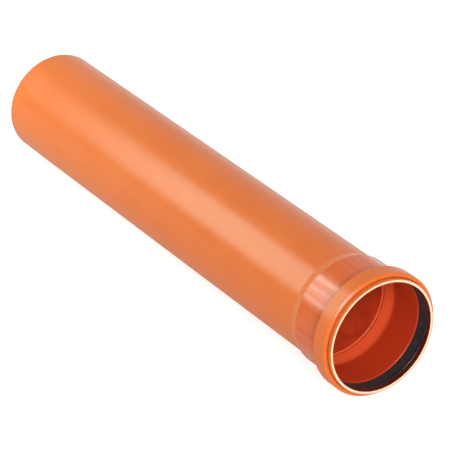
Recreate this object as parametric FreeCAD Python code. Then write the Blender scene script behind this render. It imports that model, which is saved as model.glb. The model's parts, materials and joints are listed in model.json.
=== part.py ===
"""Plastic sewer pipe, 110 mm outside, with a socket formed on one end and a rubber sealing ring in it.

The pipe is one extruded tube.  One end is heated and widened into a socket: a straight
stretch that takes the next pipe, a bead with a groove inside it for the ring, and a short lip.
It lies on the floor, z = 0, with its mouth towards +X.  Only the bead and the plain end, the spigot,
touch the floor, so the mouth points up by under a degree.  The origin is the middle of its shadow.
Lengths are in millimetres, and a depth is measured along the axis from the socket's mouth.
"""

import FreeCAD, Part
import math
import os

from FreeCAD import Vector

# the tube
LENGTH = 597.0  # over all, from the spigot's end to the mouth
PIPE_RADIUS = 55.0  # outside
PIPE_WALL = 3.2
SPIGOT_BEVEL = 0.5
SPIGOT_BEVEL_LENGTH = 1.2

# the lip at the mouth
LIP_CLEARANCE = 0.7  # on the radius, round the pipe that is pushed in
LIP_WALL = 3.0
LIP_HEIGHT = 4.3
LIP_EDGE_ROUND = 0.4

# the bead, and the groove inside it
BEAD_HEIGHT = 8.0  # above the tube's outside
BEAD_WALL = 2.9
BEAD_FRONT_WALL = 1.7
BEAD_BACK_WALL = 3.0
BEAD_ROUND = 2.0
BEAD_FOOT_ROUND = 0.5
BEAD_BACK_ROUND = 1.2
GROOVE_WIDTH = 13.0
GROOVE_CORNER_ROUND = 1.6
GROOVE_EDGE_ROUND = 1.4

# the socket's straight stretch, and the cone that closes it in to the tube
SOCKET_CLEARANCE = 0.25  # on the radius, round the pipe that is pushed in
SOCKET_WALL = 2.1
SOCKET_DEPTH = 56.5
INNER_CONE_LENGTH = 13.0
OUTER_CONE_LAG = 2.5  # the outside starts to close in this much deeper than the inside
OUTER_CONE_LENGTH = 9.0
CONE_ROUND = 8.0
STOP_ROUND = 3.0

# the sealing ring, in section
RING_CLEARANCE = 0.3  # to the groove's front wall and floor
RING_HEEL_GAP = 4.4  # from the heel's back to the groove's back wall
RING_TIP_GAP = 1.5  # from the lip's tip to the groove's back wall
RING_LIP_CLEARANCE = 0.05  # on the radius, round the pipe that is pushed in
RING_NOSE_CLEARANCE = 1.0
RING_VALLEY_DROP = 2.9  # from the heel's outside down to the hollow between the nose and the lip
RING_VALLEY_DEPTH = 3.5  # behind the front face
RING_NOTCH_DROP = 1.9  # from the heel's outside down to the notch between the heel and the lip
RING_TIP_THICKNESS = 1.3
RING_NOSE_ROUND = 1.2
RING_TIP_ROUND = 0.3
RING_NOTCH_ROUND = 0.4

PIPE_BORE = PIPE_RADIUS - PIPE_WALL
LIP_BORE = PIPE_RADIUS + LIP_CLEARANCE
LIP_OUTSIDE = LIP_BORE + LIP_WALL
SOCKET_BORE = PIPE_RADIUS + SOCKET_CLEARANCE
SOCKET_OUTSIDE = SOCKET_BORE + SOCKET_WALL
BEAD_OUTSIDE = PIPE_RADIUS + BEAD_HEIGHT
GROOVE_FLOOR = BEAD_OUTSIDE - BEAD_WALL
GROOVE_FRONT = LIP_HEIGHT + BEAD_FRONT_WALL
GROOVE_BACK = GROOVE_FRONT + GROOVE_WIDTH
BEAD_BACK = GROOVE_BACK + BEAD_BACK_WALL
OUTER_CONE_START = SOCKET_DEPTH + OUTER_CONE_LAG


def rounded_corner(before, corner, after, radius):
    """The three points of the arc that rounds a corner between two straight sides."""
    to_before = (before - corner).normalize()
    to_after = (after - corner).normalize()
    half_angle = to_before.getAngle(to_after) / 2
    back = radius / math.tan(half_angle)
    inward = radius / math.sin(half_angle) - radius
    middle = corner + (to_before + to_after).normalize() * inward
    return corner + to_before * back, middle, corner + to_after * back


def turned(corners):
    """A solid turned about +Z, upright. Each corner is (radius, depth, round); a round of 0 stays sharp."""
    points = [Vector(radius, 0, LENGTH - depth) for radius, depth, _ in corners]
    arcs = []
    for i, (_, _, size) in enumerate(corners):
        before, corner, after = points[i - 1], points[i], points[(i + 1) % len(points)]
        if size:
            arcs.append(rounded_corner(before, corner, after, size))
        else:
            arcs.append((corner, corner, corner))
    edges = []
    for i, (start, middle, end) in enumerate(arcs):
        if start != end:
            edges.append(Part.Arc(start, middle, end).toShape())
        next_start = arcs[(i + 1) % len(arcs)][0]
        edges.append(Part.LineSegment(end, next_start).toShape())
    face = Part.Face(Part.Wire(edges))
    return face.revolve(Vector(0, 0, 0), Vector(0, 0, 1), 360)


def make_pipe():
    outside = [
        (PIPE_RADIUS - SPIGOT_BEVEL, LENGTH, 0),
        (PIPE_RADIUS, LENGTH - SPIGOT_BEVEL_LENGTH, 0),
        (PIPE_RADIUS, OUTER_CONE_START + OUTER_CONE_LENGTH, CONE_ROUND),
        (SOCKET_OUTSIDE, OUTER_CONE_START, CONE_ROUND),
        (SOCKET_OUTSIDE, BEAD_BACK, BEAD_BACK_ROUND),
        (BEAD_OUTSIDE, BEAD_BACK, BEAD_ROUND),
        (BEAD_OUTSIDE, LIP_HEIGHT, BEAD_ROUND),
        (LIP_OUTSIDE, LIP_HEIGHT, BEAD_FOOT_ROUND),
        (LIP_OUTSIDE, 0, LIP_EDGE_ROUND),
    ]
    inside = [
        (LIP_BORE, 0, LIP_EDGE_ROUND),
        (LIP_BORE, GROOVE_FRONT, GROOVE_EDGE_ROUND),
        (GROOVE_FLOOR, GROOVE_FRONT, GROOVE_CORNER_ROUND),
        (GROOVE_FLOOR, GROOVE_BACK, GROOVE_CORNER_ROUND),
        (SOCKET_BORE, GROOVE_BACK, GROOVE_EDGE_ROUND),
        (SOCKET_BORE, SOCKET_DEPTH, CONE_ROUND),
        (PIPE_BORE, SOCKET_DEPTH + INNER_CONE_LENGTH, STOP_ROUND),
        (PIPE_BORE, LENGTH, 0),
    ]
    return turned(outside + inside)


def make_sealing_ring():
    """A lip seal: its heel sits in the groove, and its lip leans back against the next pipe."""
    front = GROOVE_FRONT + RING_CLEARANCE
    heel = GROOVE_FLOOR - RING_CLEARANCE
    heel_back = GROOVE_BACK - RING_HEEL_GAP
    tip = GROOVE_BACK - RING_TIP_GAP
    lip = PIPE_RADIUS + RING_LIP_CLEARANCE
    nose = PIPE_RADIUS + RING_NOSE_CLEARANCE
    nose_round = min(RING_NOSE_ROUND, 0.45 * (heel - nose))
    heel_round = min(GROOVE_CORNER_ROUND, 0.5 * (heel - nose))
    return turned(
        [
            (nose, front, nose_round),
            (heel, front, heel_round),
            (heel, heel_back, heel_round),
            (heel - RING_NOTCH_DROP, heel_back, RING_NOTCH_ROUND),
            (lip + RING_TIP_THICKNESS, tip, RING_TIP_ROUND),
            (lip, tip, RING_TIP_ROUND),
            (heel - RING_VALLEY_DROP, front + RING_VALLEY_DEPTH, RING_NOSE_ROUND),
        ]
    )


def lay_down(shape):
    """Turn a shape from upright to its resting place, on the bead and the spigot's outer edge."""
    crown_back = LENGTH - BEAD_BACK + BEAD_ROUND
    rise = math.atan2(BEAD_HEIGHT, crown_back - SPIGOT_BEVEL_LENGTH)
    shape.rotate(Vector(0, 0, 0), Vector(0, 1, 0), 90 - math.degrees(rise))
    along = LENGTH * math.cos(rise) / 2
    up = PIPE_RADIUS * math.cos(rise) - SPIGOT_BEVEL_LENGTH * math.sin(rise)
    shape.translate(Vector(-along, 0, up))
    return shape


os.makedirs("parts", exist_ok=True)
for name, shape in (("pipe", make_pipe()), ("sealing_ring", make_sealing_ring())):
    lay_down(shape).exportStep(f"parts/{name}.step")
    box = shape.optimalBoundingBox()
    print(name, "valid" if shape.isValid() else "NOT VALID", round(shape.Volume), "mm3", box)
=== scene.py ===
"""A plastic sewer pipe lying on a pale floor: the extruded tube with its socket, and its rubber ring."""

import json
import math

import bpy
from mathutils import Matrix, Vector, noise


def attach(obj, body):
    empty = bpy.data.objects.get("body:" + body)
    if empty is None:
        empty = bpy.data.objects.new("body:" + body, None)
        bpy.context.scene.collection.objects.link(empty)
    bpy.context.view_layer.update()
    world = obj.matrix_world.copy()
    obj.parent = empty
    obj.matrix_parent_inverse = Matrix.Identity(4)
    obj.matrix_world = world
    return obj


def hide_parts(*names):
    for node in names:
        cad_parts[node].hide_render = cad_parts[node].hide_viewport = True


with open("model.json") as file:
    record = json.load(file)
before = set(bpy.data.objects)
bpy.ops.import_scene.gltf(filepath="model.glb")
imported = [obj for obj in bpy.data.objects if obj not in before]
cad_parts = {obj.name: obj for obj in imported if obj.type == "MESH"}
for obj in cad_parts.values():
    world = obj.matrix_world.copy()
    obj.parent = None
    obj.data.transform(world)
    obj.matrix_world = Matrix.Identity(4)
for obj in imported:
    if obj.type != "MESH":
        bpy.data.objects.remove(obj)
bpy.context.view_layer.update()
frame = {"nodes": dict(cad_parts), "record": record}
scene = bpy.context.scene

# ---------------------------------------------------------------------------
# The camera.  A long lens nearly three metres off, to the right of the mouth
# and above it, so that the view looks a little way into the socket.

camera = bpy.data.objects.new("camera", bpy.data.cameras.new("camera"))
camera.data.sensor_width = 36.0
camera.data.lens = 224.4
camera.data.clip_end = 50.0
camera.location = (2.0708, -1.3377, 1.4191)
camera_aim = Vector((0.0363, 0.0, 0.0584))
camera.rotation_euler = (camera_aim - camera.location).to_track_quat("-Z", "Y").to_euler()
scene.collection.objects.link(camera)
scene.camera = camera

# ---------------------------------------------------------------------------
# The tube and its socket.  One extruded length of orange PVC: three layers,
# with a pale foamed core between two coloured skins.  The socket is blown out
# of the hot end over a former, so its shape is all arcs and straight runs.

MM = 0.001
mounts = {mount["name"]: mount for mount in frame["record"]["mounts"]}
PIPE_RADIUS = mounts["spigot"]["dims"]["r_mm"] * MM
SOCKET_BORE = mounts["socket"]["dims"]["r_mm"] * MM
WALL = 3.2 * MM
PIPE_BORE = PIPE_RADIUS - WALL
LIP_BORE = PIPE_RADIUS + 0.7 * MM
LIP_OUTSIDE = LIP_BORE + 3.0 * MM
LIP_HEIGHT = 4.3 * MM
BEAD_OUTSIDE = PIPE_RADIUS + 8.0 * MM
BEAD_BACK = 22.0 * MM
GROOVE_FLOOR = BEAD_OUTSIDE - 2.9 * MM
GROOVE_FRONT = 6.0 * MM
GROOVE_BACK = 19.0 * MM
SOCKET_OUTSIDE = SOCKET_BORE + 2.1 * MM
CREASE = 0.5 * MM  # the bead's foot is undercut by this much where the lip meets it
CORE_EDGE = LIP_OUTSIDE - 0.8 * MM
STOP_GROOVE = 0.45 * MM  # the former's nose marks the tube where the cone ends
INNER_CONE = (56.5 * MM, 69.5 * MM)
OUTER_CONE = (59.0 * MM, 68.0 * MM)

axis = Vector(mounts["socket"]["axis"]).normalized()
on_axis = Vector(mounts["socket"]["pos_m"])
reach = [(v.co - on_axis).dot(axis) for v in frame["nodes"]["pipe"].data.vertices]
LENGTH = max(reach) - min(reach)
mouth = on_axis + axis * max(reach)
across = Vector((0, 1, 0))
laid = Matrix((across.cross(axis), across, axis)).transposed().to_4x4()
laid.translation = mouth  # the mouth's middle is the pieces' own origin, and -Z runs down the tube

TURNS = 288
ARC_STEPS = 7
HOLD = 0.25 * MM  # a ring this near each end of a straight run keeps the shading flat along it


def rounded(outline):
    """The outline's points with each round stretch as an arc: (radius, depth, round) corners."""
    points = [Vector((radius, depth)) for radius, depth, _ in outline]
    path = []
    for i, (_, _, size) in enumerate(outline):
        corner = points[i]
        if not size:
            path.append([corner])
            continue
        back = (points[i - 1] - corner).normalized()
        on = (points[(i + 1) % len(points)] - corner).normalized()
        half = back.angle(on) / 2
        middle = corner + (back + on).normalized() * (size / math.sin(half))
        start = corner + back * (size / math.tan(half)) - middle
        end = corner + on * (size / math.tan(half)) - middle
        sweep = start.angle(end)
        steps = [k / ARC_STEPS for k in range(ARC_STEPS + 1)]
        path.append([
            middle + (start * math.sin((1 - s) * sweep) + end * math.sin(s * sweep)) / math.sin(sweep)
            for s in steps
        ])
    return path


def rings_of(outline, longest=40 * MM):
    """Every ring that is turned: the arcs' points, and rings along the straight runs between."""
    path = rounded(outline)
    rings = []
    for i, arc in enumerate(path):
        rings.extend(arc)
        start, end = arc[-1], path[(i + 1) % len(path)][0]
        run = (end - start).length
        if run > 4 * HOLD:
            count = math.ceil(run / longest)
            shares = [HOLD / run] + [k / count for k in range(1, count)] + [1 - HOLD / run]
            rings.extend(start.lerp(end, share) for share in shares)
    return rings


def turned(name, outline, wander):
    """A closed mesh turned about the axis; wander gives how far a point strays from true."""
    rings = rings_of(outline)
    vertices, faces = [], []
    for ring in rings:
        for k in range(TURNS):
            angle = 2 * math.pi * k / TURNS
            spoke = Vector((math.cos(angle), math.sin(angle), 0))
            radius = ring.x + wander(spoke, ring)
            vertices.append((spoke.x * radius, spoke.y * radius, -ring.y))
    for i in range(len(rings)):
        a, b = i * TURNS, (i + 1) % len(rings) * TURNS
        for k in range(TURNS):
            n = (k + 1) % TURNS
            faces.append((a + k, a + n, b + n, b + k))
    mesh = bpy.data.meshes.new(name)
    mesh.from_pydata(vertices, [], faces)
    mesh.validate()
    mesh.shade_smooth()
    mesh.transform(laid)
    piece = bpy.data.objects.new(name, mesh)
    scene.collection.objects.link(piece)
    return piece


def tube_wander(spoke, ring):
    """Haul-off and cooling leave the tube a few hundredths of a millimetre out of true."""
    slow = noise.noise(Vector((spoke.x * 0.9, spoke.y * 0.9, ring.y * 4)))
    return 0.05 * MM * slow


pipe = turned("pipe_body", [
    (PIPE_BORE, LENGTH, 0.2 * MM),
    (PIPE_RADIUS - 0.5 * MM, LENGTH, 0.2 * MM),
    (PIPE_RADIUS, LENGTH - 1.2 * MM, 0.3 * MM),
    (PIPE_RADIUS, OUTER_CONE[1], 2.5 * MM),
    (SOCKET_OUTSIDE, OUTER_CONE[0], 2.5 * MM),
    (SOCKET_OUTSIDE, BEAD_BACK, 1.2 * MM),
    (BEAD_OUTSIDE, BEAD_BACK, 1.6 * MM),
    (BEAD_OUTSIDE, LIP_HEIGHT + 1.6 * MM, 0.5 * MM),
    (BEAD_OUTSIDE - 1.8 * MM, LIP_HEIGHT, 0.5 * MM),
    (LIP_OUTSIDE + CREASE, LIP_HEIGHT, 0.2 * MM),
    (LIP_OUTSIDE, LIP_HEIGHT + CREASE, 0.15 * MM),
    (LIP_OUTSIDE, 0, 0.4 * MM),
    (CORE_EDGE, 0, 0),
    (LIP_BORE, 0, 0.4 * MM),
    (LIP_BORE, GROOVE_FRONT, 1.4 * MM),
    (GROOVE_FLOOR, GROOVE_FRONT, 1.6 * MM),
    (GROOVE_FLOOR, GROOVE_BACK, 1.6 * MM),
    (SOCKET_BORE, GROOVE_BACK, 1.4 * MM),
    (SOCKET_BORE, INNER_CONE[0], 8 * MM),
    (PIPE_BORE + STOP_GROOVE, INNER_CONE[1] - 1.2 * MM, 0.4 * MM),
    (PIPE_BORE + STOP_GROOVE, INNER_CONE[1] + 0.3 * MM, 0.2 * MM),
    (PIPE_BORE, INNER_CONE[1] + 0.9 * MM, 0.5 * MM),
], tube_wander)


class Wire:
    """One output of a material's node; sums written on it add Math nodes."""

    def __init__(self, recipe, socket):
        self.recipe, self.socket = recipe, socket

    def sum(self, operation, first, second):
        return self.recipe.add("Math", {"operation": operation}, {0: first, 1: second})

    def __add__(self, other):
        return self.sum("ADD", self, other)

    def __radd__(self, other):
        return self.sum("ADD", other, self)

    def __sub__(self, other):
        return self.sum("SUBTRACT", self, other)

    def __rsub__(self, other):
        return self.sum("SUBTRACT", other, self)

    def __mul__(self, other):
        return self.sum("MULTIPLY", self, other)

    def __rmul__(self, other):
        return self.sum("MULTIPLY", other, self)


class Recipe:
    """The nodes of a material or of the world, and the one way that a node is added."""

    def __init__(self, owner):
        owner.use_nodes = True
        self.owner = owner
        self.tree = owner.node_tree
        self.tree.nodes.clear()

    def add(self, kind, settings=None, sockets=None, out=0):
        node = self.tree.nodes.new("ShaderNode" + kind)
        for name, value in (settings or {}).items():
            setattr(node, name, value)
        for name, value in (sockets or {}).items():
            if isinstance(value, Wire):
                self.tree.links.new(value.socket, node.inputs[name])
            elif isinstance(value, tuple) and len(node.inputs[name].default_value) == 4:
                node.inputs[name].default_value = (*value, 1)
            else:
                node.inputs[name].default_value = value
        return Wire(self, node.outputs[out]) if node.outputs else None

    def place(self):
        """Where a point lies in the upright tube: X and Y across it, Z up to 0 at the mouth."""
        return self.add(
            "Mapping", {"vector_type": "TEXTURE"},
            {
                "Vector": self.add("TexCoord", out=3),
                "Location": tuple(laid.translation),
                "Rotation": tuple(laid.to_euler()),
            },
        )

    def blend(self, share, first, second):
        """Colours mixed by share."""
        return self.add("Mix", {"data_type": "RGBA"}, {0: share, 6: first, 7: second}, out=2)

    def part(self, wire, index):
        """Another output of the node that a wire comes from."""
        return Wire(self, wire.socket.node.outputs[index])

    def band(self, value, low, high):
        """0 below low, 1 above high, smooth between."""
        return self.add(
            "MapRange", {"interpolation_type": "SMOOTHSTEP"},
            {"Value": value, "From Min": low, "From Max": high},
        )

    def noise(self, where, scale, detail=2.0, rough=0.5):
        return self.add(
            "TexNoise", None,
            {"Vector": where, "Scale": scale, "Detail": detail, "Roughness": rough},
        )

    def finish(self, sockets):
        shader = self.add("BsdfPrincipled", None, sockets)
        self.add("OutputMaterial", None, {"Surface": shader})
        return self.owner


DRAWN_ORANGE = (0.775, 0.160, 0.020), (0.800, 0.176, 0.025)
# painted light: a lighter orange for the cone between socket and tube, where more light falls
CONE_PAINTED_LIGHT_ORANGE = (0.860, 0.200, 0.034)
SOCKET_ORANGE = (0.725, 0.098, 0.004)
BEAD_SHADE = (0.42, 0.060, 0.010)
CREASE_SHADE = (0.12, 0.016, 0.006)
EDGE = 0.1 * MM  # how softly the crease's tone starts and stops


def orange_skin():
    """Extruded PVC: glossy, with faint draw lines that show most on the reheated socket."""
    r = Recipe(bpy.data.materials.new("orange_pvc_skin"))
    place = r.place()
    height = r.part(r.add("SeparateXYZ", None, {0: place}), 2)
    along = r.add("VectorMath", {"operation": "MULTIPLY"}, {0: place, 1: (1.0, 1.0, 0.010)})
    lines = r.noise(along, 900.0, 2.0, 0.6)
    cloud = r.noise(place, 22.0, 3.0, 0.6)
    fleck = r.noise(place, 900.0, 2.0, 0.5)
    streak = r.band(r.noise(along, 260.0, 2.0, 0.7), 0.38, 0.60)
    formed = r.band(height, -OUTER_CONE[0] - 0.5 * MM, -OUTER_CONE[0] + 1.5 * MM)
    # painted light: the outer cone is given a lighter orange band
    lit_cone = r.band(height, -OUTER_CONE[1] - 0.5 * MM, -OUTER_CONE[1] + 0.5 * MM) - formed
    tone = 0.6 * cloud + 0.4 * lines
    outside = r.blend(r.band(tone, 0.38, 0.62), *DRAWN_ORANGE)
    outside = r.blend(lit_cone, outside, CONE_PAINTED_LIGHT_ORANGE)
    foot = -LIP_HEIGHT - CREASE
    crease = r.band(height, foot - EDGE, foot) - r.band(height, -LIP_HEIGHT - EDGE, -LIP_HEIGHT)
    rim = r.add("VectorMath", {"operation": "LENGTH"}, {
        0: r.add("VectorMath", {"operation": "MULTIPLY"}, {0: place, 1: (1.0, 1.0, 0.0)})
    }, out=1)
    crease = crease * (1 - r.band(rim, LIP_OUTSIDE + 0.3 * MM, LIP_OUTSIDE + 1.1 * MM))
    outside = r.blend(crease, outside, CREASE_SHADE)
    socket = formed * (1 - r.band(height, -BEAD_BACK, -BEAD_BACK + 1.0 * MM))
    outside = r.blend(0.7 * socket, outside, SOCKET_ORANGE)
    shade = r.band(height, -BEAD_BACK - 16.0 * MM, -BEAD_BACK - 5.0 * MM) * socket
    outside = r.blend(0.25 * shade, outside, BEAD_SHADE)
    bump = r.add("Bump", None, {
        "Strength": 0.10, "Distance": 0.0003,
        "Height": 0.18 * lines + 0.10 * fleck,
    })
    gloss = 0.28 - 0.04 * socket + 0.06 * cloud + 0.04 * (lines - 0.5)
    return r.finish({
        "Base Color": outside, "Roughness": gloss, "Normal": bump, "IOR": 1.50,
        "Coat Weight": 0.8 * socket * streak, "Coat Roughness": 0.20,
    })


INNER_RED = (0.560, 0.050, 0.013), (0.720, 0.074, 0.020)
SOCKET_WALL_PAINTED_SHADE_RED = (0.60, 0.052, 0.013)
INNER_CONE_PAINTED_LIGHT_RED = (0.91, 0.120, 0.032)
STOP_EDGE_PAINTED_HIGHLIGHT = (0.98, 0.17, 0.06)
LIP_PAINTED_SHADE = (0.075, 0.010, 0.006)


def inner_skin():
    """The tube's inside: a redder skin, glossy, with painted shade at the lip and on the socket wall,
    and painted light on the inner cone and its edge.
    """
    r = Recipe(bpy.data.materials.new("red_inner_skin"))
    place = r.place()
    height = r.part(r.add("SeparateXYZ", None, {0: place}), 2)
    along = r.add("VectorMath", {"operation": "MULTIPLY"}, {0: place, 1: (1.0, 1.0, 0.010)})
    lines = r.noise(along, 700.0, 2.0, 0.6)
    cloud = r.noise(place, 45.0, 5.0, 0.7)
    clean = r.blend(r.band(cloud, 0.35, 0.65), *INNER_RED)
    # painted shade: the socket's inner wall is given a darker red than the bore
    shaded_wall = r.band(height, -INNER_CONE[0] - 4.0 * MM, -INNER_CONE[0] + 4.0 * MM)
    clean = r.blend(shaded_wall, clean, SOCKET_WALL_PAINTED_SHADE_RED)
    # painted light: the inner cone, which faces the mouth, is given a brighter red
    lit_cone = r.band(height, -INNER_CONE[1] + 0.8 * MM, -INNER_CONE[1] + 1.8 * MM) * (1 - shaded_wall)
    clean = r.blend(lit_cone, clean, INNER_CONE_PAINTED_LIGHT_RED)
    # painted highlight: a bright red line where the inner cone's edge meets the bore
    stop_highlight = r.band(height, -INNER_CONE[1] - 2.4 * MM, -INNER_CONE[1] - 2.0 * MM)
    stop_highlight = stop_highlight - r.band(height, -INNER_CONE[1] - 0.4 * MM, -INNER_CONE[1])
    clean = r.blend(stop_highlight, clean, STOP_EDGE_PAINTED_HIGHLIGHT)
    # painted shade: the inside of the lip, just within the mouth, is given a near-black red
    lip_shade = r.band(height + 0.0015 * cloud, -5.5 * MM, -4.5 * MM)
    colour = r.blend(0.93 * lip_shade, clean, LIP_PAINTED_SHADE)
    bump = r.add("Bump", None, {"Strength": 0.08, "Distance": 0.0003, "Height": lines})
    return r.finish({
        "Base Color": colour, "Roughness": 0.30 + 0.08 * cloud, "Normal": bump, "IOR": 1.47,
    })


FOAM_PALE = (0.94, 0.67, 0.43), (0.97, 0.78, 0.54)


def cut_core():
    """The sawn end: pale foamed core, slightly granular."""
    r = Recipe(bpy.data.materials.new("pale_foamed_core"))
    place = r.place()
    grain = r.noise(place, 2400.0, 4.0, 0.7)
    patch = r.noise(place, 120.0, 2.0, 0.5)
    colour = r.blend(0.6 * grain + 0.4 * patch, *FOAM_PALE)
    bump = r.add("Bump", None, {"Strength": 0.3, "Distance": 0.0002, "Height": grain})
    return r.finish({"Base Color": colour, "Roughness": 0.62, "Normal": bump})


for material in (orange_skin(), cut_core(), inner_skin()):
    pipe.data.materials.append(material)
CORE_SLOT, INNER_SLOT = 1, 2
SKIN = 0.3 * MM  # the coloured skin left round each edge of a cut end
for face in pipe.data.polygons:
    spot = laid.inverted() @ face.center
    radius = math.hypot(spot.x, spot.y)
    at_mouth = spot.z > -0.15 * MM and LIP_BORE + SKIN / 3 < radius < CORE_EDGE
    at_foot = spot.z < -LENGTH + 0.05 * MM
    inward = (laid.inverted().to_3x3() @ face.normal).dot(Vector((spot.x, spot.y, 0))) < 0
    if at_mouth or at_foot:
        face.material_index = CORE_SLOT
    elif inward and (radius < LIP_BORE + 0.6 * MM or spot.z < -LIP_HEIGHT - 0.5 * MM):
        face.material_index = INNER_SLOT
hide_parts("pipe")
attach(pipe, "root")

# ---------------------------------------------------------------------------
# The sealing ring.  Moulded black rubber, sprung into the groove: a heel that
# fills the front of the groove, and a lip that leans back against the next pipe.

RING_CLEARANCE = 0.3 * MM  # between the rubber and the groove's walls
ring_front = GROOVE_FRONT + RING_CLEARANCE
ring_heel = GROOVE_FLOOR - RING_CLEARANCE
heel_back = GROOVE_BACK - 4.4 * MM
lip_tip = GROOVE_BACK - 1.5 * MM
lip_edge = PIPE_RADIUS + 0.05 * MM


def ring_wander(spoke, ring):
    """Soft rubber never sits quite round in its groove."""
    return 0.04 * MM * noise.noise(Vector((spoke.x * 3, spoke.y * 3, ring.y * 60)))


seal = turned("rubber_seal", [
    (PIPE_RADIUS + 1.0 * MM, ring_front, 1.2 * MM),
    (ring_heel, ring_front, 1.6 * MM),
    (ring_heel, heel_back, 1.6 * MM),
    (PIPE_RADIUS + 2.9 * MM, heel_back, 0.4 * MM),
    (lip_edge + 1.3 * MM, lip_tip, 0.3 * MM),
    (lip_edge, lip_tip, 0.3 * MM),
    (PIPE_RADIUS + 1.9 * MM, ring_front + 3.5 * MM, 1.2 * MM),
], ring_wander)


CLEAN_BLACK = (0.025, 0.029, 0.031)
DUSTY_BLACK = (0.036, 0.041, 0.043)


def black_rubber():
    """Moulded rubber with a dull shine and a trace of the dusting powder left on it."""
    r = Recipe(bpy.data.materials.new("black_moulded_rubber"))
    place = r.place()
    fine = r.noise(place, 1800.0, 3.0, 0.6)
    dust = r.band(r.noise(place, 160.0, 4.0, 0.65), 0.48, 0.72)
    colour = r.blend(dust, CLEAN_BLACK, DUSTY_BLACK)
    bump = r.add("Bump", None, {"Strength": 0.1, "Distance": 0.0001, "Height": fine})
    return r.finish({"Base Color": colour, "Roughness": 0.27 + 0.08 * dust, "Normal": bump})


seal.data.materials.append(black_rubber())
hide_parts("sealing_ring")
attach(seal, "root")

# ---------------------------------------------------------------------------
# The floor and the light.  A pale floor in a tent that is brighter on one side,
# a long softbox beside the pipe for the stripe of shine along it, and a square
# one before the mouth.  The floor's glow has its own level for each kind of ray.

REACH = 12.0  # from the middle of the floor to each side
floor_corners = [(-REACH, -REACH, 0), (REACH, -REACH, 0), (REACH, REACH, 0), (-REACH, REACH, 0)]
floor_mesh = bpy.data.meshes.new("floor")
floor_mesh.from_pydata(floor_corners, [], [(0, 1, 2, 3)])
floor = bpy.data.objects.new("floor", floor_mesh)
scene.collection.objects.link(floor)
pale = Recipe(bpy.data.materials.new("white_floor"))
seen = pale.add("LightPath")
mirrored = pale.part(seen, 3)
back = pale.part(pale.add("SeparateXYZ", None, {0: pale.add("TexCoord", out=3)}), 1)
behind = pale.blend(pale.band(back, 0.1, 0.6), (0.11, 0.11, 0.11), (0.85, 0.85, 0.85))
unseen = pale.blend(mirrored, (0.48, 0.48, 0.48), behind)
floor_mesh.materials.append(pale.finish({
    "Base Color": (0.45, 0.45, 0.45), "Roughness": 0.9, "Emission Strength": 1.0,
    "Emission Color": pale.blend(seen, unseen, (0.78, 0.78, 0.78)),
}))

scene.world = bpy.data.worlds.new("white_tent")
tent = Recipe(scene.world)
facing = tent.add("VectorMath", {"operation": "DOT_PRODUCT"}, {
    0: tent.add("TexCoord", out=0), 1: (-0.45, 0.80, -0.22),
}, out=1)
glow = tent.add("Background", None, {
    "Color": tent.blend(0.5 + 0.5 * facing, (0.18, 0.18, 0.18), (0.74, 0.74, 0.74)),
})
tent.add("OutputWorld", None, {"Surface": glow})


def softbox(name, place, toward, size, power, tint):
    lamp = bpy.data.lights.new(name, "AREA")
    lamp.shape, lamp.size, lamp.size_y = "RECTANGLE", size[0], size[1]
    lamp.energy, lamp.color = power, tint
    box = bpy.data.objects.new(name, lamp)
    box.location = place
    box.rotation_euler = Vector(toward).to_track_quat("-Z", "Y").to_euler()
    scene.collection.objects.link(box)


softbox(
    "long_softbox", place=(-0.71, -0.556, 0.635), toward=(0, 0.695, -0.719),
    size=(0.60, 0.80), power=7.7, tint=(0.84, 1.0, 0.88),
)
softbox(
    "front_softbox", place=(2.25, -0.90, 1.35), toward=(-2.00, 0.90, -1.29),
    size=(1.0, 1.0), power=48.0, tint=(1.0, 1.0, 1.0),
)

scene.view_settings.view_transform = "Standard"
